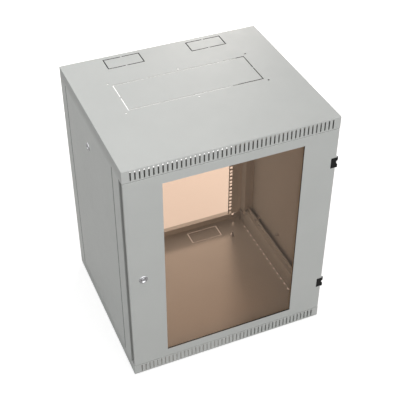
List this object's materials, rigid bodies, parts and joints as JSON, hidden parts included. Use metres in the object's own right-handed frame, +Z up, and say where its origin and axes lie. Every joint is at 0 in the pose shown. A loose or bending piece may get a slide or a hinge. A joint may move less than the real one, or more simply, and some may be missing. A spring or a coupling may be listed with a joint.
{
  "type": "wall mount network cabinet",
  "caption": "Wall mount equipment cabinet with a tinted glass door, vented top and bottom edges, square-hole rack rails, lockable removable side panels and an open back.",
  "frame": {"origin": "centre of the underside, on the plane that the cabinet stands on", "axes": "+Z up, +Y from the door towards the wall, +X to the right seen from the door"},
  "size_m": [0.608, 0.5225, 0.744],
  "materials": {
    "grey_paint": "fine-textured satin powder coat",
    "tinted_glass": "bronze-tinted toughened glass",
    "lock_chrome": "polished chrome",
    "zinc_steel": "bright zinc plate",
    "black_plastic": "moulded black polyamide",
    "seal_rubber": "matt black foam seal"
  },
  "bodies": {
    "cabinet": {"bottom_panel": "grey_paint", "ground_nuts": "zinc_steel", "ground_stud": "zinc_steel", "hinge_frame_lower": "black_plastic", "hinge_frame_screws": "zinc_steel", "hinge_frame_upper": "black_plastic", "hinge_pins": "zinc_steel", "member_lower_left": "grey_paint", "member_lower_right": "grey_paint", "member_upper_left": "grey_paint", "member_upper_right": "grey_paint", "panel_catch_left": "grey_paint", "panel_catch_right": "grey_paint", "post_front_left": "grey_paint", "post_front_right": "grey_paint", "post_rear_left": "grey_paint", "post_rear_right": "grey_paint", "rail_bolts": "zinc_steel", "rail_front_left": "grey_paint", "rail_front_right": "grey_paint", "rail_nuts": "zinc_steel", "rail_rear_left": "grey_paint", "rail_rear_right": "grey_paint", "top_panel": "grey_paint"},
    "door": {"door_frame": "grey_paint", "door_glass": "tinted_glass", "door_lock_housing": "lock_chrome", "door_lock_nut": "zinc_steel", "glass_channel_left": "grey_paint", "glass_channel_right": "grey_paint", "glass_clips": "zinc_steel", "glass_seal": "seal_rubber", "hinge_door_lower": "black_plastic", "hinge_door_screws": "zinc_steel", "hinge_door_upper": "black_plastic"},
    "door_latch": {"door_lock_cam": "zinc_steel", "door_lock_cylinder": "lock_chrome", "door_lock_screw": "zinc_steel"},
    "left_panel_body": {"left_lock_housing": "lock_chrome", "left_lock_nut": "zinc_steel", "left_panel": "grey_paint", "left_panel_pegs": "zinc_steel", "left_panel_stud": "zinc_steel"},
    "left_latch": {"left_lock_cam": "zinc_steel", "left_lock_cylinder": "lock_chrome", "left_lock_screw": "zinc_steel"},
    "right_panel_body": {"right_lock_housing": "lock_chrome", "right_lock_nut": "zinc_steel", "right_panel": "grey_paint", "right_panel_pegs": "zinc_steel", "right_panel_stud": "zinc_steel"},
    "right_latch": {"right_lock_cam": "zinc_steel", "right_lock_cylinder": "lock_chrome", "right_lock_screw": "zinc_steel"}
  },
  "joints": [
    {"name": "door_swing", "type": "hinge", "parent": "cabinet", "child": "door", "pos_m": [0.301, -0.257, 0.372], "axis": [0, 0, 1], "range_deg": [0, 180]},
    {"name": "door_lock_turn", "type": "hinge", "parent": "door", "child": "door_latch", "pos_m": [-0.2585, -0.26, 0.372], "axis": [0, 1, 0], "range_deg": [0, 90]},
    {"name": "left_panel_off", "type": "slide", "parent": "cabinet", "child": "left_panel_body", "axis": [-1, 0, 0], "range_m": [0, 0.25]},
    {"name": "left_lock_turn", "type": "hinge", "parent": "left_panel_body", "child": "left_latch", "pos_m": [-0.3, 0.0235, 0.628], "axis": [1, 0, 0], "range_deg": [0, 90]},
    {"name": "right_panel_off", "type": "slide", "parent": "cabinet", "child": "right_panel_body", "axis": [1, 0, 0], "range_m": [0, 0.25]},
    {"name": "right_lock_turn", "type": "hinge", "parent": "right_panel_body", "child": "right_latch", "pos_m": [0.3, 0.0235, 0.628], "axis": [1, 0, 0], "range_deg": [0, 90]}
  ]
}
